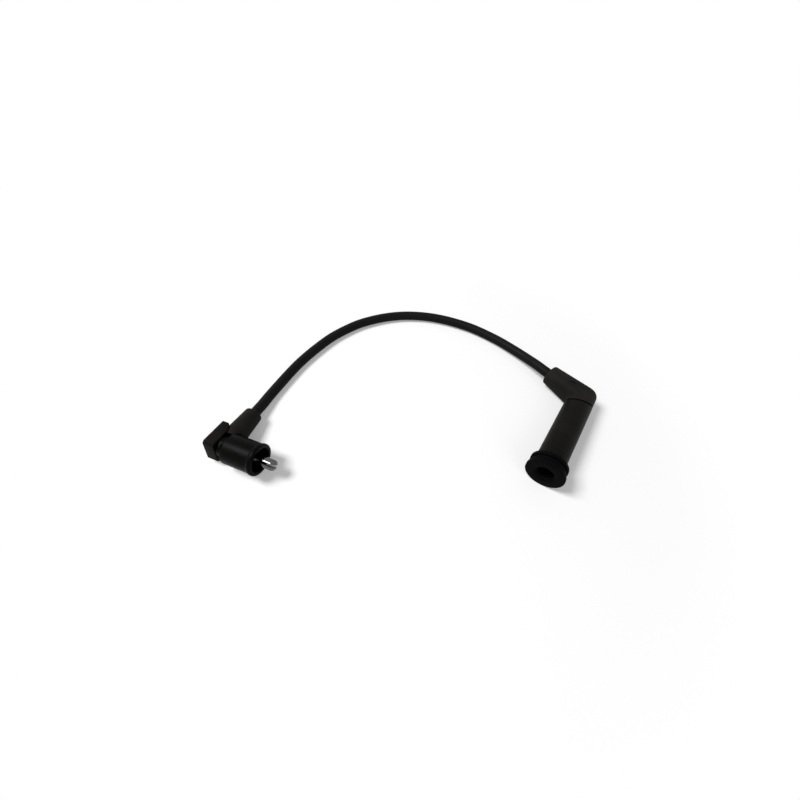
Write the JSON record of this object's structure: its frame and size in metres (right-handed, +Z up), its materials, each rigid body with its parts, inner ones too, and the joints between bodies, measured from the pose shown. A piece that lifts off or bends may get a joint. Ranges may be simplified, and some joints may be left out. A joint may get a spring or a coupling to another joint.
{
  "type": "spark plug wire",
  "caption": "Short ignition lead with a right-angled coil connector on one end and a right-angled spark plug boot on the other, joined by a curved cable.",
  "frame": {"origin": "on the surface the lead lies on, under the middle of the two connectors", "axes": "+Z up, +X from the coil connector towards the spark plug connector, whose tube lies within half a degree of Y with its mouth towards -Y"},
  "size_m": [0.1987, 0.2004, 0.0231],
  "materials": {
    "hard_plastic": "semi-gloss moulded plastic, near black",
    "cap_plastic": "satin moulded plastic, near black",
    "tube_plastic": "satin moulded plastic, warm near black",
    "boot_rubber": "matt moulded rubber, brownish black",
    "seal_rubber": "matt moulded rubber, black",
    "cable_jacket": "satin cable jacket, grey-black",
    "cable_core": "carbon-loaded core, dull black",
    "pin_metal": "bright nickel-plated contact metal",
    "crimp_metal": "tinned stamped metal",
    "spring_steel": "bright spring wire",
    "resistor_ceramic": "unglazed ceramic, cream"
  },
  "bodies": {
    "root": {"coil_housing": "hard_plastic", "coil_end_cap": "cap_plastic", "coil_cable_boot": "boot_rubber", "coil_contact_pin": "pin_metal", "coil_crimp_terminal": "crimp_metal", "coil_cable_end": "cable_jacket", "coil_cable_core": "cable_core", "plug_mouth_seal": "seal_rubber", "plug_tube": "tube_plastic", "plug_elbow": "boot_rubber", "plug_snap_terminal": "crimp_metal", "plug_snap_ring": "spring_steel", "resistor_rod": "resistor_ceramic", "resistor_cap_lower": "crimp_metal", "resistor_cap_upper": "crimp_metal", "contact_spring": "spring_steel", "plug_crimp_terminal": "crimp_metal", "plug_cable_end": "cable_jacket", "plug_cable_core": "cable_core", "ignition_cable": "cable_jacket"}
  },
  "joints": []
}
